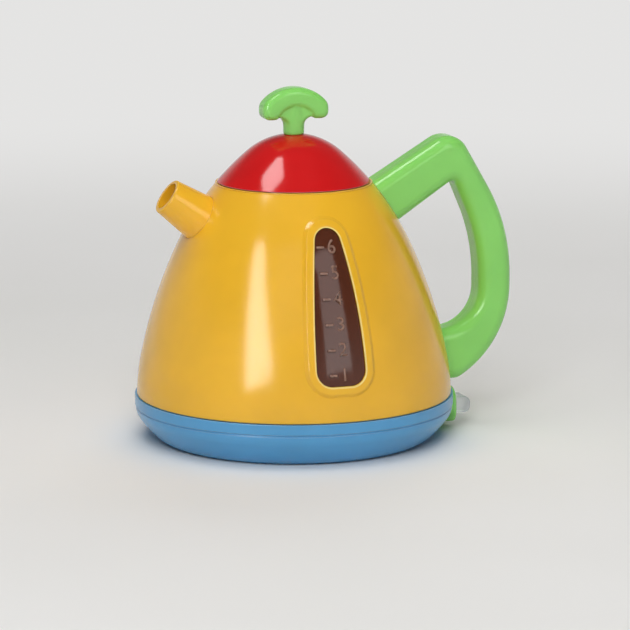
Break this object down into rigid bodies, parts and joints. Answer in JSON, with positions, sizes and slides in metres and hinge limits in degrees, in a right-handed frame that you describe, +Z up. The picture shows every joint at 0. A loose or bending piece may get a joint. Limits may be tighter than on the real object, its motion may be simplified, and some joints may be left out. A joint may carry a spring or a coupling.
{
  "type": "toy kettle",
  "caption": "Pretend electric kettle: bell-shaped body with a numbered water window, domed lift-off lid with a knob, loop handle, short spout, and a base with a press-down switch lever.",
  "frame": {"origin": "on the kettle's vertical axis, at the flat underside it stands on", "axes": "+Z up along the body's axis, +X from the axis to the handle, -X to the spout, -Y to the window"},
  "size_m": [0.1879, 0.1554, 0.1717],
  "materials": {
    "yellow_plastic": "glossy injection-moulded yellow plastic",
    "red_plastic": "glossy injection-moulded red plastic",
    "green_plastic": "glossy injection-moulded light green plastic",
    "blue_plastic": "glossy injection-moulded blue plastic",
    "window_plastic": "glossy brown tinted see-through plastic",
    "clear_plastic": "clear moulded plastic",
    "inner_plastic": "plain moulded plastic",
    "screw_steel": "zinc-plated steel",
    "contact_steel": "nickel-plated spring steel",
    "cell_wrap": "glossy printed-plastic sleeve, plain black",
    "speaker_steel": "black pressed steel",
    "speaker_paper": "black paper",
    "magnet_iron": "ferrite and plated steel",
    "board_green": "green coated board",
    "black_resin": "black resin",
    "lamp_plastic": "red tinted lamp"
  },
  "bodies": {
    "kettle": {"body_shell": "yellow_plastic", "window_pane": "window_plastic", "spout": "yellow_plastic", "handle_front": "green_plastic", "handle_back": "green_plastic", "handle_screws": "screw_steel", "handle_foot_screws": "screw_steel", "deck": "inner_plastic", "base_bowl": "blue_plastic", "base_screws": "screw_steel", "battery_door": "blue_plastic", "battery_door_screw": "screw_steel", "battery_left": "cell_wrap", "battery_right": "cell_wrap", "battery_contacts": "contact_steel", "speaker_frame": "speaker_steel", "speaker_cone": "speaker_paper", "speaker_magnet": "magnet_iron", "circuit_board": "board_green", "board_screws": "screw_steel", "sound_chip": "black_resin", "led": "lamp_plastic", "push_switch": "black_resin", "switch_bezel": "green_plastic", "switch_pin": "contact_steel", "switch_spring": "contact_steel"},
    "lid_unit": {"lid": "red_plastic", "lid_knob": "green_plastic", "knob_screw": "screw_steel"},
    "lever": {"switch_lever": "clear_plastic"}
  },
  "joints": [
    {"name": "lid_lift", "type": "slide", "parent": "kettle", "child": "lid_unit", "axis": [0, 0, 1], "range_m": [0, 0.032]},
    {"name": "switch_press", "type": "hinge", "parent": "kettle", "child": "lever", "pos_m": [0.0715, 0, 0.0106], "axis": [0, 1, 0], "range_deg": [0, 8], "stiffness_Nm_per_rad": 0.05, "springref_deg": -5.73, "deforming": ["switch_spring"]}
  ]
}
